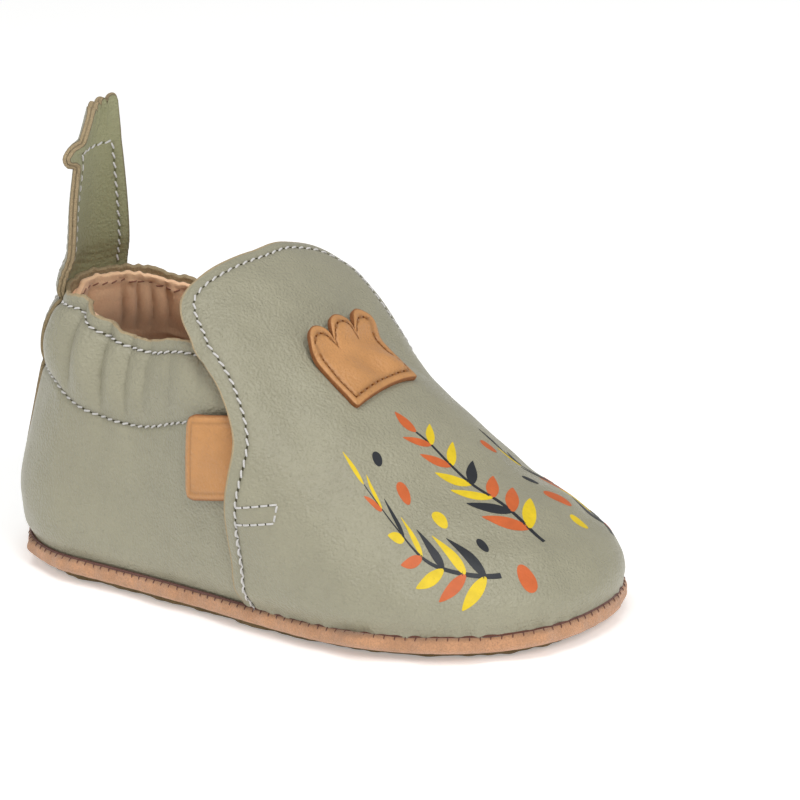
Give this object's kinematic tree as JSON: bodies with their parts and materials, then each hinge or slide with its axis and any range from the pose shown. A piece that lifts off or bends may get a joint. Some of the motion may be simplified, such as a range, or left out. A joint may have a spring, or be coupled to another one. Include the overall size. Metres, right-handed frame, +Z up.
{
  "type": "baby house slipper",
  "caption": "Baby's soft leather slipper for the right foot, with a free instep flap, an elastic collar and a pull tab at the heel.",
  "frame": {"origin": "on the floor, under the middle of the tread", "axes": "+X to the toe, +Y to the inner side of the right foot, +Z up"},
  "size_m": [0.1335, 0.0665, 0.0919],
  "materials": {
    "leather": "soft grey-green smooth leather",
    "tan": "tan smooth leather",
    "suede": "peach suede",
    "tread": "rough brown suede"
  },
  "bodies": {
    "root": {"sole": "suede", "tread": "tread", "insole": "suede", "upper": "leather", "heel_strip": "leather", "tab_facing": "leather", "side_tab": "tan", "flap_patch": "tan"}
  },
  "joints": []
}
